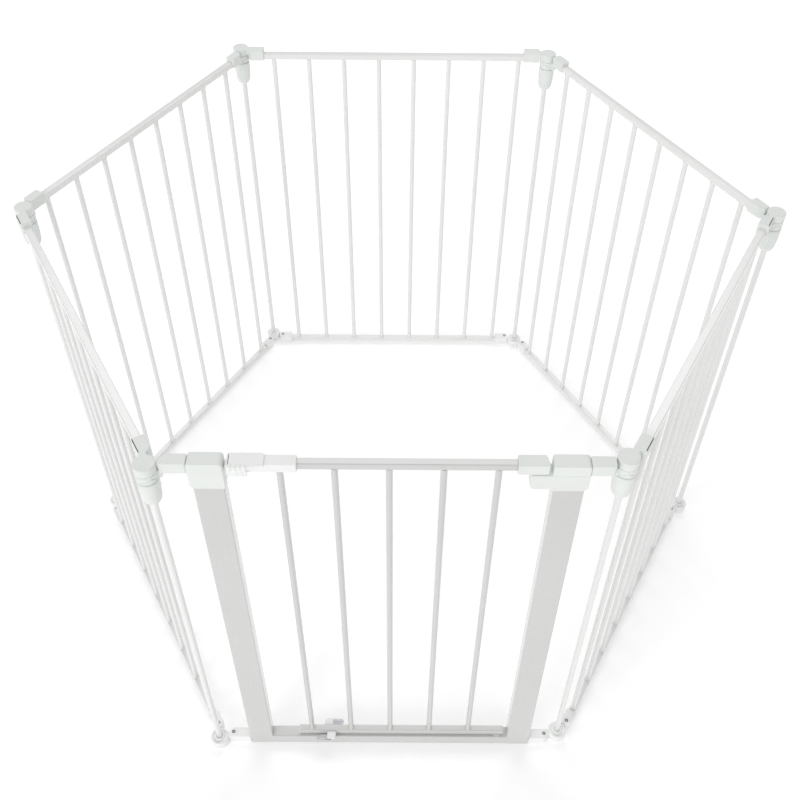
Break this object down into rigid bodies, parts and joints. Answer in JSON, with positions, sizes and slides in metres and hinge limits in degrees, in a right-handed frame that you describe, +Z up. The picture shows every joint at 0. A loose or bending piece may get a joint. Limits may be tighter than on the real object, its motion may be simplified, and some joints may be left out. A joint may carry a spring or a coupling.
{
  "type": "folding playpen",
  "caption": "Free-standing hexagonal playpen of barred white steel panels joined by corner hinges, with a gate section whose door swings both ways and latches at the top.",
  "frame": {"origin": "centre of the footprint, on the floor", "axes": "+Z up; -Y towards the outer face of the gate section; +X to the right of someone who stands outside and faces the gate"},
  "size_m": [1.231, 1.0862, 0.775],
  "materials": {
    "white_steel": "white powder coat, fine texture",
    "white_plastic": "moulded, satin, slightly green white",
    "latch_plastic": "moulded, satin, white",
    "screw_steel": "zinc plated",
    "clip_metal": "plated spring steel"
  },
  "bodies": {
    "gate": {"gate_bottom_connectors": "white_plastic", "gate_post_left": "white_steel", "gate_post_right": "white_steel", "gate_screws": "screw_steel", "gate_threshold": "white_steel", "gate_top_connectors": "white_plastic", "pivot_bush": "white_plastic", "post_cap_left": "white_plastic", "post_cap_right": "white_plastic"},
    "door": {"door_top_rail": "white_steel", "door_bottom_rail": "white_steel", "door_bars": "white_steel", "latch_housing": "latch_plastic", "door_hinge_block": "latch_plastic", "door_top_pin": "screw_steel", "door_bottom_pin": "screw_steel", "door_end_plug": "white_plastic", "door_stop_base_front": "white_plastic", "door_stop_base_rear": "white_plastic"},
    "latch": {"latch_grip": "latch_plastic"},
    "front_stop": {"door_stop_blade_front": "clip_metal"},
    "rear_stop": {"door_stop_blade_rear": "clip_metal"},
    "panel_1": {"panel_1_bars": "white_steel", "panel_1_bottom_brackets": "white_plastic", "panel_1_bottom_rail": "white_steel", "panel_1_hinge_rods": "white_steel", "panel_1_lock_sleeves": "white_plastic", "panel_1_screws": "screw_steel", "panel_1_top_brackets": "white_plastic", "panel_1_top_rail": "white_steel"},
    "panel_2": {"panel_2_bars": "white_steel", "panel_2_bottom_brackets": "white_plastic", "panel_2_bottom_rail": "white_steel", "panel_2_screws": "screw_steel", "panel_2_top_brackets": "white_plastic", "panel_2_top_rail": "white_steel"},
    "panel_3": {"panel_3_bars": "white_steel", "panel_3_bottom_brackets": "white_plastic", "panel_3_bottom_rail": "white_steel", "panel_3_hinge_rods": "white_steel", "panel_3_lock_sleeves": "white_plastic", "panel_3_screws": "screw_steel", "panel_3_top_brackets": "white_plastic", "panel_3_top_rail": "white_steel"},
    "panel_4": {"panel_4_bars": "white_steel", "panel_4_bottom_brackets": "white_plastic", "panel_4_bottom_rail": "white_steel", "panel_4_screws": "screw_steel", "panel_4_top_brackets": "white_plastic", "panel_4_top_rail": "white_steel"},
    "panel_5": {"panel_5_bars": "white_steel", "panel_5_bottom_brackets": "white_plastic", "panel_5_bottom_rail": "white_steel", "panel_5_hinge_rods": "white_steel", "panel_5_lock_sleeves": "white_plastic", "panel_5_screws": "screw_steel", "panel_5_top_brackets": "white_plastic", "panel_5_top_rail": "white_steel"}
  },
  "joints": [
    {"name": "fold", "type": "hinge", "parent": "gate", "child": "panel_1", "pos_m": [0.28614, -0.51162, 0], "axis": [0, 0, 1], "range_deg": [-45, 110]},
    {"name": "corner_2", "type": "hinge", "parent": "panel_1", "child": "panel_2", "pos_m": [0.6, 0, 0], "axis": [0, 0, 1], "range_deg": [-110, 45]},
    {"name": "corner_3", "type": "hinge", "parent": "panel_2", "child": "panel_3", "pos_m": [0.28614, 0.51162, 0], "axis": [0, 0, 1], "range_deg": [-45, 110]},
    {"name": "corner_4", "type": "hinge", "parent": "panel_3", "child": "panel_4", "pos_m": [-0.31386, 0.52761, 0], "axis": [0, 0, 1], "range_deg": [-110, 45]},
    {"name": "corner_5", "type": "hinge", "parent": "panel_4", "child": "panel_5", "pos_m": [-0.6, 0, 0], "axis": [0, 0, 1], "range_deg": [-45, 110]},
    {"name": "door_swing", "type": "hinge", "parent": "gate", "child": "door", "pos_m": [0.17676, -0.51962, 0], "axis": [0, 0, 1], "range_deg": [-90, 90]},
    {"name": "latch_slide", "type": "slide", "parent": "door", "child": "latch", "axis": [1, 0, 0], "range_m": [0, 0.012], "stiffness_N_per_m": 300},
    {"name": "front_stop_flip", "type": "hinge", "parent": "door", "child": "front_stop", "pos_m": [-0.11724, -0.53082, 0.0315], "axis": [1, 0, 0], "range_deg": [0, 90]},
    {"name": "rear_stop_flip", "type": "hinge", "parent": "door", "child": "rear_stop", "pos_m": [-0.11724, -0.50841, 0.0315], "axis": [-1, 0, 0], "range_deg": [0, 90]}
  ],
  "couplings": [
    {"joint": "corner_2", "follows": "fold", "ratio": -1},
    {"joint": "corner_3", "follows": "fold", "ratio": 1},
    {"joint": "corner_4", "follows": "fold", "ratio": -1},
    {"joint": "corner_5", "follows": "fold", "ratio": 1}
  ]
}
